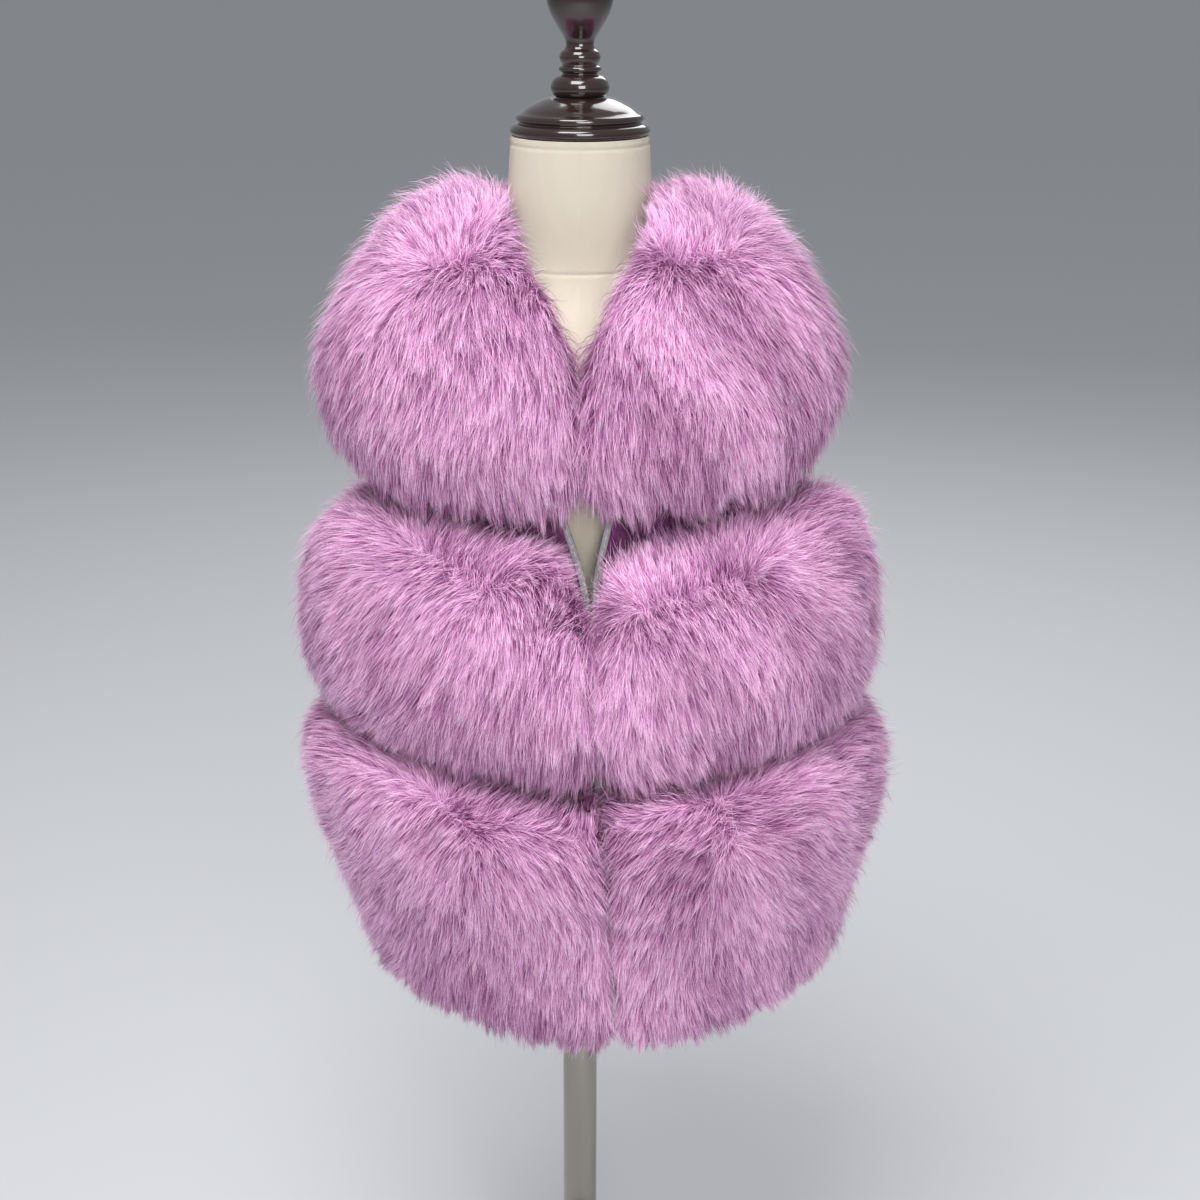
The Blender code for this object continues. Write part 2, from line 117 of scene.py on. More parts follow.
FLOOR_WIDTH = 90.0
bpy.ops.mesh.primitive_plane_add(size=FLOOR_WIDTH)
floor = bpy.context.object
floor.name = "floor"
floor_material, _ = plain_shader("floor_pale", (0.62, 0.63, 0.65), 0.9)
floor.data.materials.append(floor_material)

soft_lamp("key", (-0.35, -1.0, 2.6), 1.2, 46.0)
soft_lamp("front", (0.3, -2.2, 1.35), 1.0, 27.0)
soft_lamp("back", (0.4, 2.0, 2.4), 1.6, 26.0)

world = bpy.data.worlds.new("sky")
world.use_nodes = True
sky = world.node_tree.nodes["Background"]
sky.inputs["Color"].default_value = (0.92, 0.95, 1.0, 1.0)
sky.inputs["Strength"].default_value = 0.37
scene.world = world
scene.view_settings.view_transform = "Standard"
print("stage: floor, 3 lamps and a sky")

# %% [markdown]
# ## Shared shader effects
#
# Small node groups keep the materials short. The first makes a bump from fine noise,
# and the second makes the crossed threads of plain woven cloth from two waves.

# %%
# Node groups: grain and weave


def new_group(name, inputs):
    """An empty shader group that gives a bumped normal."""
    group = bpy.data.node_groups.new(name, "ShaderNodeTree")
    for label, value in inputs:
        socket = group.interface.new_socket(label, in_out="INPUT", socket_type="NodeSocketFloat")
        socket.default_value = value
    group.interface.new_socket("Height", in_out="OUTPUT", socket_type="NodeSocketFloat")
    group.interface.new_socket("Normal", in_out="OUTPUT", socket_type="NodeSocketVector")
    start = group.nodes.new("NodeGroupInput")
    end = group.nodes.new("NodeGroupOutput")
    bump = group.nodes.new("ShaderNodeBump")
    group.links.new(start.outputs["Depth"], bump.inputs["Distance"])
    group.links.new(bump.outputs["Normal"], end.inputs["Normal"])
    return group, start, end, bump


grain, start, end, bump = new_group("grain", [("Scale", 400.0), ("Depth", 0.0004)])
noise = grain.nodes.new("ShaderNodeTexNoise")
where = grain.nodes.new("ShaderNodeTexCoord")
noise.inputs["Detail"].default_value = 4.0
grain.links.new(where.outputs["Object"], noise.inputs["Vector"])
grain.links.new(start.outputs["Scale"], noise.inputs["Scale"])
grain.links.new(noise.outputs["Fac"], bump.inputs["Height"])
grain.links.new(noise.outputs["Fac"], end.inputs["Height"])

weave, start, end, bump = new_group("weave", [("Threads", 900.0), ("Depth", 0.0003)])
where = weave.nodes.new("ShaderNodeUVMap")
where.uv_map = "cloth"
both = weave.nodes.new("ShaderNodeMath")
both.operation = "ADD"
for index, direction in enumerate(("X", "Y")):
    wave = weave.nodes.new("ShaderNodeTexWave")
    wave.bands_direction = direction
    wave.inputs["Distortion"].default_value = 1.5
    wave.inputs["Detail"].default_value = 1.0
    weave.links.new(where.outputs["UV"], wave.inputs["Vector"])
    weave.links.new(start.outputs["Threads"], wave.inputs["Scale"])
    weave.links.new(wave.outputs["Fac"], both.inputs[index])
weave.links.new(both.outputs["Value"], bump.inputs["Height"])
weave.links.new(both.outputs["Value"], end.inputs["Height"])
print("node groups:", grain.name, weave.name)

# %% [markdown]
# ## Materials
#
# The fur's colour comes from two numbers that each hair carries as its place on the map:
# across the map is the hair's own shade, and up the map is how far along the hair we
# are. The tips are pale pink, as in the photograph. The roots are deep plum: partly the
# fur's own colour and partly painted shade, the shade that falls deep in the pile.

# %%
# Materials


def add_group(material, group, **values):
    """Use a node group in a material, feeding its normal to the shader."""
    tree = material.node_tree
    node = tree.nodes.new("ShaderNodeGroup")
    node.node_tree = group
    for label, value in values.items():
        node.inputs[label].default_value = value
    tree.links.new(node.outputs["Normal"], tree.nodes["Principled BSDF"].inputs["Normal"])
    return node


def tint(material, source, dark, light):
    """Blend two colours by a node's output between 0 and 1."""
    tree = material.node_tree
    mix = tree.nodes.new("ShaderNodeMix")
    mix.data_type = "RGBA"
    mix.inputs["A"].default_value = (*dark, 1.0)
    mix.inputs["B"].default_value = (*light, 1.0)
    tree.links.new(source, mix.inputs["Factor"])
    tree.links.new(mix.outputs["Result"], tree.nodes["Principled BSDF"].inputs["Base Color"])


fur_material, fur_shader = plain_shader("fur_orchid", (0.72, 0.36, 0.66), 0.6)
fur_shader.inputs["Specular IOR Level"].default_value = 0.10
fur_shader.inputs["Sheen Weight"].default_value = 0.12
fur_shader.inputs["Sheen Roughness"].default_value = 0.5
fur_shader.inputs["Sheen Tint"].default_value = (1.0, 0.80, 0.95, 1.0)
# The root end of this ramp is partly the fur's own colour and partly painted shade.
HAIR_COLOURS_AND_ROOT_SHADE = (
    # how far along the hair, and its colour there, darkened towards the root with painted shade
    (0.00, (0.150, 0.030, 0.125)),
    (0.40, (0.410, 0.140, 0.330)),
    (0.75, (0.700, 0.370, 0.600)),
    (1.00, (0.860, 0.590, 0.765)),
)
DARK_HAIR = (0.40, 0.22, 0.38)  # what the colour is multiplied by at one end of the map
LIGHT_HAIR = (1.30, 1.52, 1.36)  # and at the other

tree = fur_material.node_tree
hair_map = tree.nodes.new("ShaderNodeUVMap")
hair_map.uv_map = "OFBake"
split = tree.nodes.new("ShaderNodeSeparateXYZ")
colour_and_root_shade_along = tree.nodes.new("ShaderNodeValToRGB")
own_shade = tree.nodes.new("ShaderNodeMix")
own_shade.data_type = "RGBA"
own_shade.inputs["A"].default_value = (*DARK_HAIR, 1.0)
own_shade.inputs["B"].default_value = (*LIGHT_HAIR, 1.0)
product = tree.nodes.new("ShaderNodeVectorMath")
product.operation = "MULTIPLY"
ramp = colour_and_root_shade_along.color_ramp
while len(ramp.elements) < len(HAIR_COLOURS_AND_ROOT_SHADE):
    ramp.elements.new(0.5)
for element, (place, colour) in zip(ramp.elements, HAIR_COLOURS_AND_ROOT_SHADE):
    element.position = place
    element.color = (*colour, 1.0)
tree.links.new(hair_map.outputs["UV"], split.inputs["Vector"])
tree.links.new(split.outputs["Y"], colour_and_root_shade_along.inputs["Fac"])
tree.links.new(split.outputs["X"], own_shade.inputs["Factor"])
tree.links.new(colour_and_root_shade_along.outputs["Color"], product.inputs[0])
tree.links.new(own_shade.outputs["Result"], product.inputs[1])
tree.links.new(product.outputs["Vector"], fur_shader.inputs["Base Color"])

# Light shines through to the far side of a hair.
far_side = tree.nodes.new("ShaderNodeBsdfTranslucent")
facing = tree.nodes.new("ShaderNodeNewGeometry")
sides = tree.nodes.new("ShaderNodeMixShader")
tree.links.new(product.outputs["Vector"], far_side.inputs["Color"])
tree.links.new(facing.outputs["Backfacing"], sides.inputs["Fac"])
tree.links.new(fur_shader.outputs["BSDF"], sides.inputs[1])
tree.links.new(far_side.outputs["BSDF"], sides.inputs[2])
tree.links.new(sides.outputs["Shader"], tree.nodes["Material Output"].inputs["Surface"])

suede_material, suede_shader = plain_shader("suede_purple", (0.15, 0.035, 0.13), 0.9)
suede_shader.inputs["Sheen Weight"].default_value = 0.15
suede_shader.inputs["Sheen Tint"].default_value = (0.80, 0.50, 0.80, 1.0)
nap = add_group(suede_material, grain, Scale=900.0, Depth=0.0004)
tint(suede_material, nap.outputs["Height"], (0.105, 0.018, 0.090), (0.190, 0.042, 0.160))

tape_material, _ = plain_shader("tape_white", (0.92, 0.91, 0.92), 0.75)
add_group(tape_material, weave, Threads=1400.0, Depth=0.0002)
thread_material, _ = plain_shader("thread_white", (0.80, 0.78, 0.80), 0.7)

linen_material, linen_shader = plain_shader("linen_cream", (0.74, 0.66, 0.52), 0.88)
linen_shader.inputs["Sheen Weight"].default_value = 0.15
threads = add_group(linen_material, weave, Threads=520.0, Depth=0.00025)
tint(linen_material, threads.outputs["Height"], (0.88, 0.77, 0.57), (0.97, 0.90, 0.73))

wood_material, wood_shader = plain_shader("wood_dark", (0.022, 0.010, 0.008), 0.16)
wood_shader.inputs["Coat Weight"].default_value = 0.8
wood_shader.inputs["Coat Roughness"].default_value = 0.06
chrome_material, _ = plain_shader("chrome_steel", (0.31, 0.29, 0.25), 0.14, 1.0)
print("materials:", len(bpy.data.materials))

# %% [markdown]
# ## Turned and round pieces
#
# The solids are rings of points one above another. We read each ring's height and size,
# draw a smooth curve through them and spin it with many more steps.

# %%
# Finer round pieces from the frame's rings
WELD = 2e-5  # points nearer than this are one
MAP_AROUND = 0.55  # metres of cloth that the map holds in one turn


def node_points(node):
    """All points of a solid, in metres."""
    return np.array([v.co for v in solids[node].data.vertices])


def rings_of(node):
    """Height, half width and half depth of each ring of a round solid."""
    points = node_points(node)
    heights = np.unique(points[:, 2].round(5))
    rows = []
    for height in heights:
        ring = np.abs(points[np.abs(points[:, 2] - height) < WELD])
        rows.append((height, ring[:, 0].max(), ring[:, 1].max()))
    return np.array(rows)


def smooth_rows(rows, parts):
    """Points on a curve through the rows, with so many parts between two of them."""
    before, after = 2 * rows[0] - rows[1], 2 * rows[-1] - rows[-2]
    padded = np.vstack((before, rows, after))
    made = []
    for i in range(len(rows) - 1):
        a, b, c, d = padded[i : i + 4]
        for part in range(parts):
            t = part / parts
            curve = 2 * b + (c - a) * t + (2 * a - 5 * b + 4 * c - d) * t * t
            curve += (3 * b - a - 3 * c + d) * t**3
            made.append(0.5 * curve)
    made.append(rows[-1])
    return np.array(made)


def spin(name, rows, steps, material):
    """A closed round body from rows of height, half width and half depth."""
    angles = np.linspace(0.0, 2 * math.pi, steps, endpoint=False)
    points = [
        (width * math.sin(a), -depth * math.cos(a), height)
        for height, width, depth in rows
        for a in angles
    ]
    last = (len(rows) - 1) * steps
    faces = [
        (low + i, low + (i + 1) % steps, low + steps + (i + 1) % steps, low + steps + i)
        for low in range(0, last, steps)
        for i in range(steps)
    ]
    faces.append(tuple(reversed(range(steps))))
    faces.append(tuple(range(last, last + steps)))
    mesh = bpy.data.meshes.new(name)
    mesh.from_pydata(points, [], faces)
    mesh.materials.append(material)
    for face in mesh.polygons:
        face.use_smooth = len(face.vertices) == 4
    layer = mesh.uv_layers.new(name="cloth")
    for face in mesh.polygons:
        closes_turn = any(index % steps == steps - 1 for index in face.vertices)
        for loop, index in zip(face.loop_indices, face.vertices):
            turn = (index % steps) / steps
            if turn == 0.0 and closes_turn:
                turn = 1.0
            layer.data[loop].uv = (turn * MAP_AROUND, points[index][2])
    body = bpy.data.objects.new(name, mesh)
    scene.collection.objects.link(body)
    return body


def finish_piece(piece, node):
    """Let a piece stand for a solid in that solid's place: attach it to the root and hide the
    solid.
    """
    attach(piece, "root")
    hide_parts(node)


def with_bevel(rows, size):
    """Round the two outer edges of a plain rod or plate."""
    low, high = rows[0], rows[-1]
    inside = np.array((0.0, size, size))
    up = np.array((size, 0.0, 0.0))
    return np.vstack((low - inside, low + up, rows[1:-1], high - up, high - inside))


ROUND_EDGE = 0.0006
for node in ("neck_cap", "finial"):
    piece = spin("turned_" + node, smooth_rows(rings_of(node), 3), 72, wood_material)
    finish_piece(piece, node)
for node in ("pole", "base_plate"):
    piece = spin("steel_" + node, with_bevel(rings_of(node), ROUND_EDGE), 96, chrome_material)
    finish_piece(piece, node)
print("round pieces: cap, finial, pole and plate")

# %% [markdown]
# ## The linen torso
#
# The torso gets closer rings too, and two shallow grooves: the seam where the neck meets
# the shoulders, and the seam under the cap.

# %%
# The torso with its seams
SEAMS = (
    # height, depth and width
    (0.8725, 0.0007, 0.0013),
    (0.9490, 0.0004, 0.0012),
)
FINE_ROWS = 1200  # for smoothing; every sixteenth is kept
KEEP_EVERY = 16
BLUR_ROWS = 21
END_ROWS = 12  # at each end, left as they are


def columns_at(heights, rows):
    """Height, half width and half depth at other heights."""
    return np.column_stack([np.interp(heights, rows[:, 0], rows[:, k]) for k in range(3)])


rings = smooth_rows(rings_of("form_torso"), 8)
rings[:, 0] = np.maximum.accumulate(rings[:, 0])
fine = columns_at(np.linspace(rings[0, 0], rings[-1, 0], FINE_ROWS), rings)
for _ in range(3):
    for k in (1, 2):
        blurred = np.convolve(fine[:, k], np.ones(BLUR_ROWS) / BLUR_ROWS, "same")
        fine[END_ROWS:-END_ROWS, k] = blurred[END_ROWS:-END_ROWS]
close = np.concatenate([np.linspace(h - 4 * w, h + 4 * w, 17) for h, _, w in SEAMS])
heights = np.unique(np.concatenate((fine[::KEEP_EVERY, 0], fine[-1:, 0], close)))
torso_rows = columns_at(heights, fine)
for height, depth, width in SEAMS:
    torso_rows[:, 1:] -= (depth * np.exp(-(((heights - height) / width) ** 2)))[:, None]
torso = spin("linen_torso", torso_rows, 72, linen_material)
finish_piece(torso, "form_torso")
print("torso:", len(torso.data.polygons), "faces")

# %% [markdown]
# ## Suede bodice and tapes
#
# A panel's solid is a coarse wall 2 mm thick. We merge its triangles into four-sided
# faces, keep its cut edges sharp with creases, and let a subdivision surface round the
# rest. Then a few soft ridges go in where the suede strains between the tiers.

# %%
# Finer shells for the suede and the tapes
RIDGES = (
    # angle in degrees, height, length, width and depth in millimetres, slant
    (22, 738, 30, 7, 1.1, 0.5),
    (38, 732, 42, 9, 1.3, 0.9),
    (57, 736, 26, 6, 0.8, -0.6),
    (-26, 736, 38, 8, 1.2, -0.8),
    (-47, 731, 28, 7, 0.9, 0.4),
    (150, 735, 44, 9, 1.2, 0.7),
    (-163, 738, 32, 8, 1.0, -0.5),
    (-128, 732, 36, 7, 1.1, -0.9),
)
BODY_RADIUS = 0.118  # turns an angle round the body into a length
BODY_FLATNESS = 1.3  # the body is so much wider than it is deep
FLAT_ANGLE = math.radians(35)  # triangles flatter than this to each other are joined
CUT_ANGLE = math.radians(50)  # an edge sharper than this is a cut edge


def ridge_height(points):
    """How far the ridges lift the suede at each point."""
    angle = np.degrees(np.arctan2(points[:, 0], -points[:, 1]))
    total = np.zeros(len(points))
    for at, height, length, width, depth, slant in RIDGES:
        around = np.radians((angle - at + 180) % 360 - 180) * BODY_RADIUS
        up = points[:, 2] - height * 0.001
        along_ridge = (up + slant * around) / (length * 0.001)
        across_ridge = (around - slant * up) / (width * 0.001)
        total += depth * 0.001 * np.exp(-(along_ridge**2) - across_ridge**2)
    return total


def finer_shell(node, name, material, levels):
    """A smooth copy of a solid's wall, with its cut edges kept."""
    work = bmesh.new()
    work.from_mesh(solids[node].data)
    bmesh.ops.remove_doubles(work, verts=work.verts, dist=WELD)
    bmesh.ops.join_triangles(
        work, faces=work.faces, angle_face_threshold=FLAT_ANGLE, angle_shape_threshold=math.pi
    )
    crease = work.edges.layers.float.new("crease_edge")
    for edge in work.edges:
        if edge.calc_face_angle(0.0) > CUT_ANGLE:
            edge[crease] = 1.0
    mesh = bpy.data.meshes.new(name)
    work.to_mesh(mesh)
    work.free()
    shell = bpy.data.objects.new(name, mesh)
    scene.collection.objects.link(shell)
    rounder = shell.modifiers.new("rounder", "SUBSURF")
    rounder.levels = levels
    rounder.render_levels = levels
    view = bpy.context.evaluated_depsgraph_get()
    shell.data = bpy.data.meshes.new_from_object(shell.evaluated_get(view))
    shell.modifiers.clear()
    shell.data.materials.clear()
    shell.data.materials.append(material)
    shell.data.shade_smooth()
    layer = shell.data.uv_layers.new(name="cloth")
    points = np.array([v.co for v in shell.data.vertices])
    around = np.arctan2(points[:, 0], -points[:, 1]) * BODY_RADIUS
    index = np.array([loop.vertex_index for loop in shell.data.loops])
    layer.data.foreach_set("uv", np.column_stack((around[index], points[index, 2])).ravel())
    return shell


def lift_ridges(shell):
    """Move both faces of a shell outward together along the ridges."""
    points = np.array([v.co for v in shell.data.vertices])
    outward = points * (1.0, BODY_FLATNESS, 0.0)
    outward /= np.linalg.norm(outward, axis=1)[:, None]
    points += outward * ridge_height(points)[:, None]
    shell.data.vertices.foreach_set("co", points.ravel())
    shell.data.update()


PANELS = (
    # node, width and length of its cut in metres, and the share of that its area fills
    ("bodice_front_left", 0.190, 0.480, 0.85),
    ("bodice_front_right", 0.190, 0.480, 0.87),
    ("bodice_back", 0.408, 0.470, 0.86),
)
for node, width, length, share in PANELS:
    panel = finer_shell(node, "suede_" + node, suede_material, 1)
    lift_ridges(panel)
    finish_piece(panel, node)
print("suede panels:", len(PANELS))

# %% [markdown]
# ## Edge tapes and their stitches
#
# A narrow white tape finishes each front edge. It is sewn down with a running stitch:
# small plump threads in a row, each of them a stretched body with eight sides, which we
# place along the middle of the tape and join into one mesh.

# %%
# Two tapes with a row of stitches on each
STITCH_PITCH = 0.0050
STITCH_LENGTH = 0.0034
STITCH_SIZE = 0.00034
ROW_BREAK = 0.004  # the least height between two rows of a tape's points
OUTSIDE = 0.01  # how far out we start to look for the tape's outer face
HALF_TAPE = 0.0004


def tape_middle(node):
    """The middle of each row of a tape's points, from its lower to its upper end."""
    points = node_points(node)
    points = points[np.argsort(points[:, 2])]
    breaks = np.flatnonzero(np.diff(points[:, 2]) > ROW_BREAK) + 1
    return np.array([row.mean(axis=0) for row in np.split(points, breaks)])


def even_steps(line, pitch):
    """Points at even distances along a line of points."""
    length = np.concatenate(([0.0], np.cumsum(np.linalg.norm(np.diff(line, axis=0), axis=1))))
    places = np.arange(pitch, length[-1] - pitch, pitch)
    return np.column_stack([np.interp(places, length, line[:, k]) for k in range(3)])


def stitches(name, middle, tape):
    """A row of stitches on the outer face of a tape."""
    places = even_steps(middle, STITCH_PITCH)
    ahead = np.gradient(places, axis=0)
    faces = [f.vertices for f in tape.data.polygons]
    tree = BVHTree.FromPolygons([v.co for v in tape.data.vertices], faces)
    stretch = (1.0, 1.0, 0.5 * STITCH_LENGTH / STITCH_SIZE)
    body = bmesh.new()
    for place, forward in zip(places, ahead):
        outward = Vector((place[0], BODY_FLATNESS * place[1], 0.0)).normalized()
        seat = tree.ray_cast(Vector(place) + outward * OUTSIDE, -outward)[0]
        turn = Vector(forward).to_track_quat("Z", "Y").to_matrix().to_4x4()
        turn.translation = seat if seat else Vector(place) + outward * HALF_TAPE
        bead = bmesh.ops.create_uvsphere(body, u_segments=8, v_segments=5, radius=STITCH_SIZE)
        bmesh.ops.scale(body, vec=stretch, verts=bead["verts"])
        bmesh.ops.transform(body, matrix=turn, verts=bead["verts"])
    mesh = bpy.data.meshes.new(name)
    body.to_mesh(mesh)
    body.free()
    mesh.shade_smooth()
    mesh.materials.append(thread_material)
    row = bpy.data.objects.new(name, mesh)
    scene.collection.objects.link(row)
    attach(row, "root")
    return len(places)


front_lines = {}
for side in ("left", "right"):
    node = "edge_tape_" + side
    tape = finer_shell(node, "woven_" + node, tape_material, 2)
    finish_piece(tape, node)
    front_lines[side] = tape_middle(node)
    print(node, "has", stitches("stitches_" + side, front_lines[side], tape), "stitches")

# %% [markdown]
# ## Fur: where it grows
#
# Each fur solid reaches as far as its hair does, so its outer surface tells every hair
# where to end. We weld the solid's triangles, find which of them face open air, and
# measure how much room there is below each point. A hair never gets longer than that.
# Two solids meet at a side seam. There we point the hair straight out, so that the fur
# runs on over the seam.

# %%
# The surface that the hair ends at


def unit(vectors):
    """Vectors of length 1."""
    return vectors / np.maximum(np.linalg.norm(vectors, axis=-1, keepdims=True), 1e-9)


def along(a, b):
    """The dot product of each pair of vectors, kept as a column."""
    return (a * b).sum(axis=-1, keepdims=True)


def welded(nodes):
    """Points, smooth outward directions and triangles of some solids, with points joined."""
    work = bmesh.new()
    for node in nodes:
        work.from_mesh(solids[node].data)
    bmesh.ops.remove_doubles(work, verts=work.verts, dist=WELD)
    bmesh.ops.triangulate(work, faces=work.faces)
    work.normal_update()
    points = np.array([v.co for v in work.verts])
    normals = np.array([v.normal for v in work.verts])
    triangles = np.array([[v.index for v in f.verts] for f in work.faces])
    work.free()
    return points, normals, triangles


def ray_tree(points, triangles):
    """A tree that finds the nearest or the first place on some triangles."""
    return BVHTree.FromPolygons([Vector(p) for p in points], triangles.tolist())


suede_points, _, suede_faces = welded([row[0] for row in PANELS])
suede_tree = ray_tree(suede_points, suede_faces)
print("suede below the fur:", len(suede_faces), "triangles")

# %%
# What a fur solid's surface is like
PELT_CLEARANCE = 0.005  # a face nearer to the suede than this is the pelt
SEAM_BAND = 0.0006  # the side seams lie so near to y = 0
JUST_BELOW = 0.0005


def open_faces(points, triangles):
    """Which triangles face open air: not the pelt, and not the cut at a side seam."""
    middles = points[triangles].mean(axis=1)
    distance = np.array([suede_tree.find_nearest(Vector(m))[3] for m in middles])
    on_seam = np.abs(points[triangles][:, :, 1]).max(axis=1) < SEAM_BAND
    return (distance > PELT_CLEARANCE) & ~on_seam


def triangle_areas(corners):
    """The area of each triangle, from its three corners."""
    sides = np.cross(corners[:, 1] - corners[:, 0], corners[:, 2] - corners[:, 0])
    return 0.5 * np.linalg.norm(sides, axis=1)


def read_skin(node):
    """A fur solid's surface, the room below its points, and its faces in open air."""
    points, normals, triangles = welded([node])
    tree = ray_tree(points, triangles)
    starts = points - normals * JUST_BELOW
    normals[np.abs(points[:, 1]) < SEAM_BAND, 1] = 0.0  # the fur runs on over a side seam
    normals = unit(normals)
    room = np.zeros(len(points))
    for i, (start, normal) in enumerate(zip(starts, normals)):
        hit = tree.ray_cast(Vector(start), Vector(-normal))
        room[i] = hit[3] if hit[0] else 0.0
    bare = triangles[open_faces(points, triangles)]
    return {
        "points": points,
        "normals": normals,
        "triangles": triangles,
        "room": room,
        "open": bare,
        "tree": ray_tree(points, bare),
        "area": triangle_areas(points[bare]).sum(),
    }


def scatter(skin, count, random):
    """Random places over the open faces, with the way out and the room below each."""
    corners = skin["points"][skin["open"]]
    areas = triangle_areas(corners)
    chosen = random.choice(len(areas), count, p=areas / areas.sum())
    a, b = random.random((2, count))
    over = a + b > 1
    a[over], b[over] = 1 - a[over], 1 - b[over]
    share = np.column_stack((1 - a - b, a, b))
    spots = skin["open"][chosen]
    places = (corners[chosen] * share[:, :, None]).sum(axis=1)
    outward = unit((skin["normals"][spots] * share[:, :, None]).sum(axis=1))
    return places, outward, (skin["room"][spots] * share).sum(axis=1)


print("fur solids:", sum(name.startswith("fur_") for name in solids))

# %% [markdown]
# ## Fur: how it is combed
#
# The hair isn't combed one way. It stands up towards you at a few whorls, fans out from
# them on all sides, and lies flatter as it gets further away. It hangs only a little,
# because fur is springy. Further out it stands up again, and that is why a fur's outline
# bristles.
#
# A whorl is a short line on the surface, given by the angle round the body and the height
# of its two ends. We find the line by looking at the fur from outside at that angle.

# %%
# The whorls of each tier
WHORLS = {
    # tier: for each whorl, the angle in degrees and the height of its two ends
    "top": (
        (31, 0.892, 53, 0.894),
        (-42, 0.890, -48, 0.888),
        (143, 0.888, 132, 0.892),
        (-144, 0.890, -138, 0.888),
    ),
    "middle": (
        (14, 0.684, 43, 0.696),
        (-41, 0.712, -24, 0.694),
        (148, 0.692, 136, 0.700),
        (-152, 0.684, -132, 0.694),
    ),
    "hem": (
        (32, 0.556, 33, 0.524),
        (-31, 0.553, -24, 0.527),
        (150, 0.548, 140, 0.530),
        (-146, 0.552, -150, 0.528),
    ),
}


def whorl_lines(tier, tree):
    """The two ends of each of a tier's whorls, found on its surface."""
    lines = []
    for row in WHORLS[tier]:
        ends = []
        for angle, height in (row[:2], row[2:]):
            outward = Vector((math.sin(math.radians(angle)), -math.cos(math.radians(angle)), 0.0))
            start = outward * 0.5 + Vector((0.0, 0.0, height))
            ends.append(np.array(tree.ray_cast(start, -outward)[0]))
        lines.append(ends)
    return lines


print("whorls:", sum(len(rows) for rows in WHORLS.values()))

# %%
# How the hair lies at any place
STANDING = math.radians(17)
LYING = math.radians(62)
WHORL_SIZE = 0.060
FAR_FROM_WHORL = 0.150
SPRING_BACK = 0.26  # of the lean, far from a whorl
HANG = 0.16  # how much gravity turns the hair down
WHORL_CORE = 0.0003  # keeps the weight of a very near whorl within bounds
FADE = 0.07  # height over which gravity sets in below a whorl
SWAYS = (
    # strength, size and seed
    (0.22, 0.045, 5),
    (0.10, 0.016, 6),
)


def sway(places, size, seed):
    """A smooth random push, alike for neighbours within about the given size."""
    random = np.random.default_rng(seed)
    push = np.zeros_like(places)
    for _ in range(6):
        wave = unit(random.normal(size=3)) * math.tau / (size * random.uniform(1.4, 2.8))
        turn = random.uniform(0.0, math.tau)
        push += np.sin(places @ wave + turn)[:, None] * random.normal(size=3) / 2.4
    return push


def fan(places, outward, lines):
    """The way out from the whorls at each place, how far the nearest is, and their height."""
    spread = np.zeros_like(places)
    weights = np.zeros((len(places), 1))
    level = np.zeros((len(places), 1))
    nearest = np.full((len(places), 1), 9.0)
    for start, end in lines:
        length = end - start
        share = np.clip((places - start) @ length / (length @ length), 0.0, 1.0)[:, None]
        away = places - start - share * length
        distance = np.linalg.norm(away, axis=1, keepdims=True)
        weight = 1.0 / (distance**2 + WHORL_CORE)
        spread += unit(away - outward * along(away, outward)) * weight
        level += (start + share * length)[:, 2:] * weight
        weights += weight
        nearest = np.minimum(nearest, distance)
    return spread / weights, nearest, level / weights


def smooth_step(values):
    """Turn 0 to 1 into a soft start and a soft end."""
    values = np.clip(values, 0.0, 1.0)
    return values**2 * (3 - 2 * values)


def comb(places, outward, lines):
    """The way the hair lies at each place, and how far it leans over."""
    spread, nearest, level = fan(places, outward, lines)
    below = np.clip((level - places[:, 2:]) / FADE + 0.5, 0.0, 1.0)
    down = np.array((0.0, 0.0, -1.0)) + outward * outward[:, 2:]
    strength = np.clip(np.linalg.norm(spread, axis=1, keepdims=True), 0.3, 1.0)
    lie = spread + down * (0.04 + HANG * below) * strength
    lie += sum(push * sway(places, size, seed) for push, size, seed in SWAYS)
    lie -= outward * along(lie, outward)
    flat = smooth_step(nearest / WHORL_SIZE)
    flat *= np.minimum(np.linalg.norm(lie, axis=1, keepdims=True), 1.0)
    lie = unit(lie)
    hanging = np.clip(-lie[:, 2:], 0.0, 1.0)
    far = smooth_step((nearest - WHORL_SIZE) / (FAR_FROM_WHORL - WHORL_SIZE))
    flat *= 1.0 - SPRING_BACK * far * (1.0 - 0.6 * hanging)
    return lie, STANDING + (LYING - STANDING) * flat


print("hair leans by", round(math.degrees(STANDING)), "to", round(math.degrees(LYING)), "degrees")

# %% [markdown]
# Two more things make the tiers look like fur and not like cushions. Where the fronts
# meet, the hair of each reaches a little over to the other and closes the gap. And along
# a tier's lower edge the locks hang past the edge by different lengths.

# %%
# Hair over the front opening, and hair that hangs past a lower edge
FRINGE = {
    # tier: how much of the opening's gap its hair closes, and how far it hangs past
    "top": (1.0, 0.013),
    "middle": (1.0, 0.011),
    "hem": (0.25, 0.007),
}
REACHES_OVER = 0.0065  # hair that starts nearer to the opening's middle is moved
CROSSES_BY = 0.0035  # past the middle, at most
SETS_IN = 0.003  # how gradually


def reach_over(places, outward, closed, random):
    """How far the hair at the front opening is moved to reach the other front."""
    middle = np.zeros(len(places))
    for line in front_lines.values():
        middle += 0.5 * np.interp(places[:, 2], line[:, 2], line[:, 0])
    away = places[:, 0] - middle
    side = np.sign(away)
    room = np.abs(away)
    faces_it = smooth_step(-outward[:, 0] * side / 0.5)
    share = smooth_step((REACHES_OVER - room) / SETS_IN) * faces_it * (outward[:, 1] < 0.6)
    shift = np.zeros_like(places)
    shift[:, 0] = -side * share * closed * (room + CROSSES_BY * random.random(len(places)))
    return shift


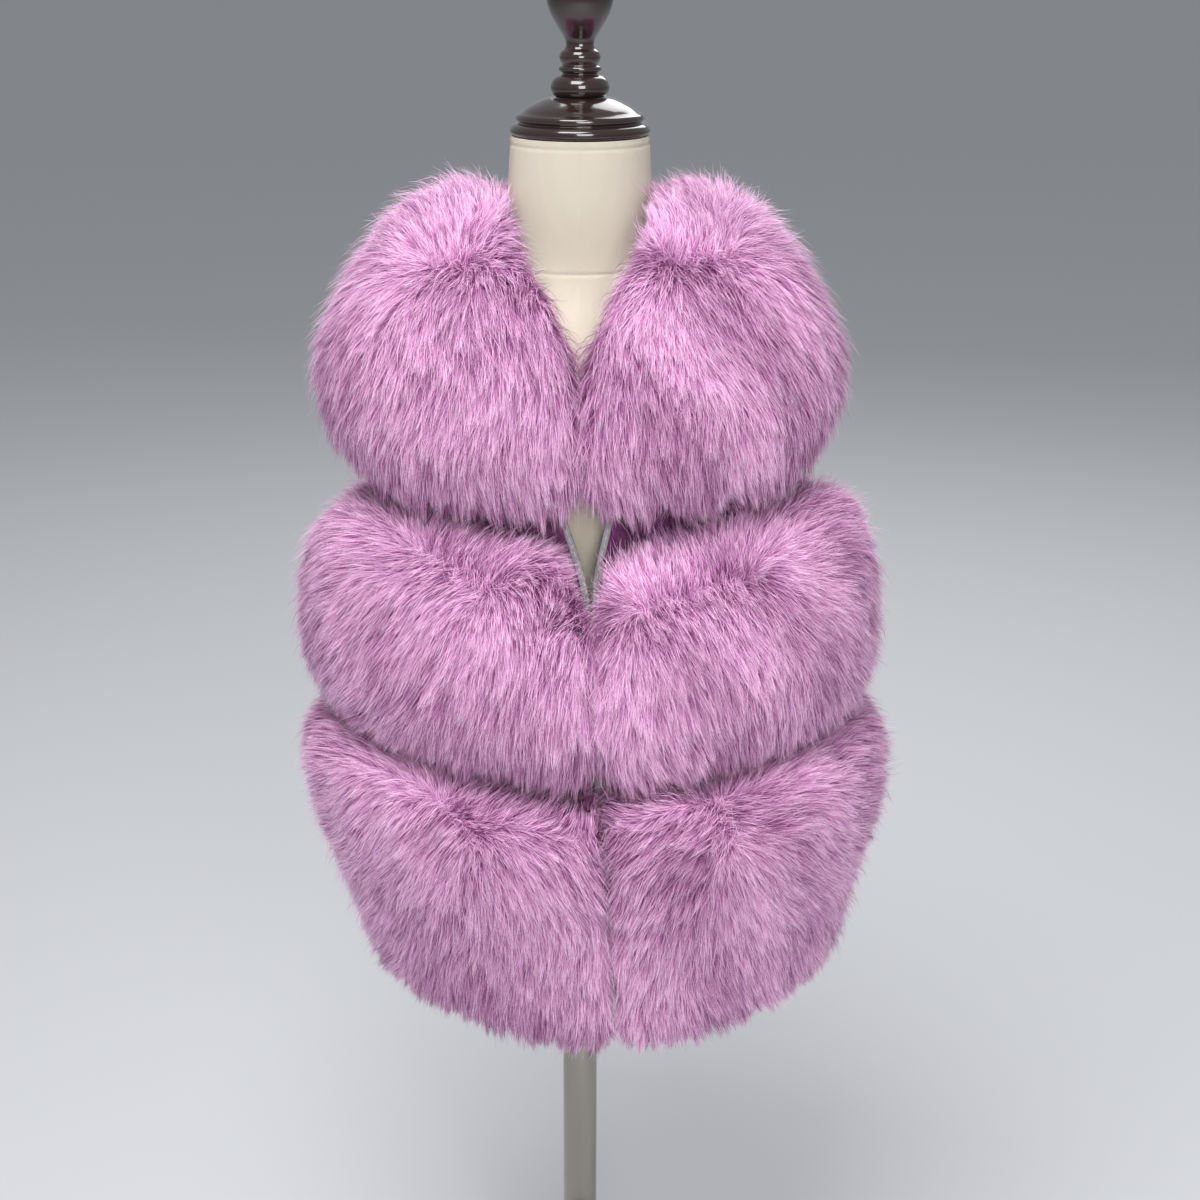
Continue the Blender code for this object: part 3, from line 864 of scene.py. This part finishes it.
def hang_past(curves, outward, lock, most, steps):
    """Let whole locks hang past an edge that faces down."""
    t = np.array(steps)[None, :, None] ** 1.5
    edge = smooth_step((-outward[:, 2] - 0.05) / 0.6)
    lock_share = np.random.default_rng(4).random(lock.max() + 1)[lock]
    drop = np.zeros((len(curves), 3))
    drop[:, 2] = -most * edge * lock_share**1.5
    return curves + drop[:, None] * t


print("the hair hangs up to", 1000 * max(row[1] for row in FRINGE.values()), "mm past an edge")

# %% [markdown]
# ## Fur: hair by hair
#
# A fox pelt has three kinds of hair. The guard hairs make the colour that you see. Below
# them grows short underfur, darker partly by its own colour and partly by painted shade.
# A few long, very fine and pale hairs stray over both and make the soft edge of the outline.
#
# Guard hair and underfur are straight slivers of one triangle, which lets us have very
# many. A stray hair bends once on its way, with three triangles. The part next to the
# root is left away, because other hair hides it. Where the surface curves away below a
# lying hair, its root would come out into the air, so we sink the root again.

# %%
# Kinds of hair, and the curve of one hair
KINDS = {
    "guard": {
        "density": 560000,  # hairs for each square metre
        "lengths": (0.018, 0.034),
        "width": 0.00058,
        "steps": (0.24, 1.0),  # along the hair; what is nearer its root never shows
        "widths": (1.0,),  # at each step but the tip
        "shades": (0.14, 1.0),
        "lift": (0.0, 0.0020),  # of the tip over the surface, and how uneven that is
        "lean": 1.0,
        "paleness": 1.0,  # of the tip
    },
    "under": {
        "density": 330000,
        "lengths": (0.014, 0.024),
        "width": 0.00105,
        "steps": (0.20, 1.0),
        "widths": (1.0,),
        # a darker range of shades: partly the underfur's own colour, partly painted shade
        "shades": (0.02, 0.50),
        "lift": (-0.0045, 0.0013),
        "lean": 0.86,
        # its tips stay in the dark end of the ramp: painted shade deep in the pile, partly its
        # own colour
        "paleness": 0.62,
    },
    "stray": {
        "density": 70000,
        "lengths": (0.026, 0.042),
        "width": 0.00040,
        "steps": (0.20, 0.58, 1.0),
        "widths": (1.0, 0.8),
        "shades": (0.72, 1.0),
        "lift": (0.0045, 0.0026),
        "lean": 0.84,
        "paleness": 1.0,
    },
}
ROOT_DEPTH = 0.009
JITTER = 0.17  # how unevenly neighbouring hairs lie and lean
SAG = 0.10  # of a hair's length


def hair_curves(places, outward, lie, lean, length, steps):
    """Points along each hair from its root to its tip, which bends into the lie."""
    t = np.array(steps)[None, :, None]
    run = (length * np.sin(lean))[:, None, None] * lie[:, None]
    rise = (length * np.cos(lean))[:, None, None] * outward[:, None]
    sag = (SAG * length)[:, None, None] * np.array((0.0, 0.0, -1.0))
    return places[:, None] + run * (t**1.25 - 1) - rise * (1 - t) ** 1.5 + sag * (t**2 - 1)


def sink_roots(curves, tree, room, steps):
    """Move each root back below the surface, and the rest of its hair less and less."""
    t = np.array(steps)[None, :, None]
    depths = np.minimum(ROOT_DEPTH, 0.6 * room)
    shift = np.zeros((len(curves), 3))
    for i, (root, depth) in enumerate(zip(curves[:, 0], depths)):
        nearest, normal, _, _ = tree.find_nearest(Vector(root))
        height = (Vector(root) - nearest).dot(normal)
        if height > -depth:
            shift[i] = normal * (height + depth)
    return curves - shift[:, None] * (1 - t) ** 1.5


print("kinds of hair:", ", ".join(KINDS))

# %% [markdown]
# ## Fur: locks
#
# Hair clings together. Each hair's tip is drawn towards the tip of the hair that leads
# its lock. Small locks inside larger ones leave the dark gaps that you see between tufts.

# %%
# Locks of hair
LOCKS = (
    # spacing and the least and most pull
    (0.030, 0.06, 0.18),
    (0.013, 0.08, 0.28),
    (0.0050, 0.20, 0.66),
)


def choose_leaders(curves, places, area):
    """For each size of lock, a tree of the hairs that lead it, and their tips."""
    leaders = []
    for spacing, _, _ in LOCKS:
        chosen = int(area / spacing**2)
        tree = KDTree(chosen)
        for i in range(chosen):
            tree.insert(places[i], i)
        tree.balance()
        leaders.append((tree, curves[:chosen, -1].copy()))
    return leaders


def draw_together(curves, places, leaders, steps, random):
    """Draw each hair's tip towards the tip that leads its lock, and say which that is."""
    t = np.array(steps)[None, :, None] ** 1.5
    nearest = None
    for (_, least, most), (tree, tips) in zip(LOCKS, leaders):
        nearest = np.array([tree.find(p)[1] for p in places])
        pull = random.uniform(least, most, (len(places), 1)) * (tips[nearest] - curves[:, -1])
        curves = curves + pull[:, None] * t
    return curves, nearest


print("sizes of lock:", [row[0] for row in LOCKS])

# %% [markdown]
# ## Fur: from curves to a mesh
#
# Every hair is a flat, tapering ribbon. Its shading directions follow the fur's surface
# more than the ribbon itself, which makes thousands of slivers look soft. Where a hair is
# on its map says how light it is and how far along the hair we are.

# %%
# Ribbons
EDGE_ON_MAP = 0.004  # half of what a ribbon's width takes up on the map
SOFTNESS = 0.55  # how much the shading follows the fur's surface


def ribbon_triangles(levels):
    """The corners of one ribbon's triangles."""
    pattern = []
    for k in range(0, 2 * levels - 4, 2):
        pattern += [k, k + 1, k + 3, k, k + 3, k + 2]
    last = 2 * levels - 4
    return np.array(pattern + [last, last + 1, last + 2])


def ribbons(curves, outward, width, shade, twist, hair):
    """Points, corners, map and shading directions of a tapering ribbon for each hair."""
    steps, widths = hair["steps"], hair["widths"]
    count, levels = curves.shape[:2]
    forward = unit(np.gradient(curves, axis=1))
    side = unit(np.cross(forward, outward[:, None]))
    front = np.cross(side, forward)
    side = side * np.cos(twist)[:, None, None] + front * np.sin(twist)[:, None, None]
    half = side[:, :-1] * (0.5 * width[:, None] * np.array(widths))[:, :, None]
    pairs = np.stack((curves[:, :-1] - half, curves[:, :-1] + half), axis=2)
    points = np.concatenate((pairs.reshape(count, -1, 3), curves[:, -1:]), axis=1)
    corners = ribbon_triangles(levels)[None] + points.shape[1] * np.arange(count)[:, None]
    # Up the map runs from the dark root end, which is partly painted shade, to the pale tip.
    up_map = np.append(np.repeat(steps[:-1], 2), 1.0) * hair["paleness"]
    edge = np.append(np.tile((-EDGE_ON_MAP, EDGE_ON_MAP), levels - 1), 0.0)
    across = shade[:, None] + edge
    on_map = np.stack((across, np.broadcast_to(up_map, across.shape)), axis=2)
    facing = np.cross(side, forward)
    facing *= np.where(along(facing, outward[:, None]) < 0, -1.0, 1.0)
    look = unit(SOFTNESS * outward[:, None] + (1.0 - SOFTNESS) * facing)
    look = np.concatenate((np.repeat(look[:, :-1], 2, axis=1), look[:, -1:]), axis=1)
    return points.reshape(-1, 3), corners.ravel(), on_map.reshape(-1, 2), look.reshape(-1, 3)


print("a stray hair has", len(ribbon_triangles(len(KINDS["stray"]["steps"]))) // 3, "triangles")

# %%
# The undercoat, and one mesh from all its parts
UNDERCOAT_DEPTH = 0.011
ON_PELT = 0.006  # nearer to the suede than this, the undercoat stays where it is
UNDERCOAT_ROOM = 0.35  # of the room below a place, at most
UNDERCOAT_ACROSS = (0.4, 0.6)  # its place on the map: a middling shade
# near the root: the dark end of the ramp, which is partly painted shade
UNDERCOAT_UP = (0.05, 0.15)  # and near the root


def undercoat(skin, random):
    """A slightly smaller copy of the solid that closes the gaps between hairs, dark with painted
    shade from the ramp's root end.
    """
    points = skin["points"]
    off_pelt = np.array([suede_tree.find_nearest(Vector(p))[3] for p in points]) > ON_PELT
    inward = np.minimum(UNDERCOAT_DEPTH, UNDERCOAT_ROOM * skin["room"]) * off_pelt
    across = random.uniform(*UNDERCOAT_ACROSS, len(points))
    up = random.uniform(*UNDERCOAT_UP, len(points))
    inner = points - skin["normals"] * inward[:, None]
    return inner, skin["triangles"].ravel(), np.column_stack((across, up)), skin["normals"]


def build_mesh(name, parts, material):
    """One mesh of triangles from several sets of arrays."""
    offsets = np.cumsum([0] + [len(part[0]) for part in parts])
    points = np.vstack([part[0] for part in parts])
    corners = np.concatenate([part[1] + offset for part, offset in zip(parts, offsets)])
    on_map = np.vstack([part[2] for part in parts])
    mesh = bpy.data.meshes.new(name)
    mesh.vertices.add(len(points))
    mesh.vertices.foreach_set("co", points.astype(np.float32).ravel())
    mesh.loops.add(len(corners))
    mesh.loops.foreach_set("vertex_index", corners.astype(np.int32))
    mesh.polygons.add(len(corners) // 3)
    mesh.polygons.foreach_set("loop_start", np.arange(0, len(corners), 3, dtype=np.int32))
    mesh.update(calc_edges=True)
    layer = mesh.uv_layers.new(name="OFBake")
    layer.data.foreach_set("uv", on_map[corners].astype(np.float32).ravel())
    mesh.shade_smooth()
    mesh.normals_split_custom_set_from_vertices(np.vstack([part[3] for part in parts]))
    mesh.materials.append(material)
    piece = bpy.data.objects.new(name, mesh)
    scene.collection.objects.link(piece)
    return piece


print("undercoat:", UNDERCOAT_DEPTH * 1000, "mm below the tips")

# %%
# Grow the nine pieces of fur
PART_SHARE = {"left": 1.12, "right": 1.12, "back": 0.74}
LOCK_TONE = 0.20  # how much the shade differs from lock to lock
PATCH_TONE = 0.15  # and from one broad patch to the next
ROOM_SHARE = 0.9  # of the room below a place that its hair may take
SPARE_LENGTH = 0.004
LEANS = (0.03, 1.35)  # the least and most lean of any hair, in radians
WIDTHS = (0.7, 1.3)  # the least and most share of its kind's width
TWIST = 0.6  # how far ribbons turn about their own length, in radians
SHADES = (0.01, 0.99)


def strands(kind, share, skin, lines, fringe, leaders, random):
    """All hairs of one kind on a piece. The first guard hairs lead the locks."""
    hair = KINDS[kind]
    steps = hair["steps"]
    count = int(hair["density"] * share * skin["area"])
    places, outward, room = scatter(skin, count, random)
    lie, lean = comb(places, outward, lines)
    lie = unit(lie + random.normal(0.0, JITTER, lie.shape))
    lean = np.clip(lean[:, 0] * hair["lean"] + random.normal(0.0, JITTER, count), *LEANS)
    longest = ROOM_SHARE * room / np.cos(lean) + SPARE_LENGTH
    length = np.minimum(random.uniform(*hair["lengths"], count), longest)
    ends = places + outward * random.normal(*hair["lift"], (count, 1))
    closed, hanging = fringe
    ends += reach_over(places, outward, closed, random)
    curves = hair_curves(ends, outward, lie, lean, length, steps)
    if not leaders:
        leaders += choose_leaders(curves, places, skin["area"])
    tone = np.zeros(count)
    if kind != "stray":
        curves, lock = draw_together(curves, places, leaders, steps, random)
        curves = hang_past(curves, outward, lock, hanging, steps)
        tone = np.random.default_rng(3).normal(0.0, LOCK_TONE, lock.max() + 1)[lock]
    curves = sink_roots(curves, skin["tree"], room, steps)
    low, high = hair["shades"]
    shade = random.uniform(low, high, count) + tone
    shade = np.clip(shade + PATCH_TONE * sway(places, 0.04, 8)[:, 0], *SHADES)
    width = hair["width"] * random.uniform(*WIDTHS, count) / math.sqrt(share)
    twist = random.normal(0.0, TWIST, count)
    return ribbons(curves, outward, width, shade, twist, hair)


def grow(node, part, lines, fringe, seed):
    """The undercoat and the hairs that stand for one fur solid."""
    random = np.random.default_rng(seed)
    skin = read_skin(node)
    share = PART_SHARE[part] * 1.0
    leaders = []
    parts = [strands(kind, share, skin, lines, fringe, leaders, random) for kind in KINDS]
    parts.append(undercoat(skin, random))
    piece = build_mesh("pile_" + node, parts, fur_material)
    finish_piece(piece, node)
    return piece


seed = 30
total = 0
for tier in WHORLS:
    nodes = [f"fur_{tier}_{part}" for part in PART_SHARE]
    tier_points, _, tier_faces = welded(nodes)
    lines = whorl_lines(tier, ray_tree(tier_points, tier_faces))
    for node, part in zip(nodes, PART_SHARE):
        seed += 1
        piece = grow(node, part, lines, FRINGE[tier], seed)
        total += len(piece.data.polygons)
        print(piece.name, len(piece.data.polygons), "triangles")
print("fur:", total, "triangles")
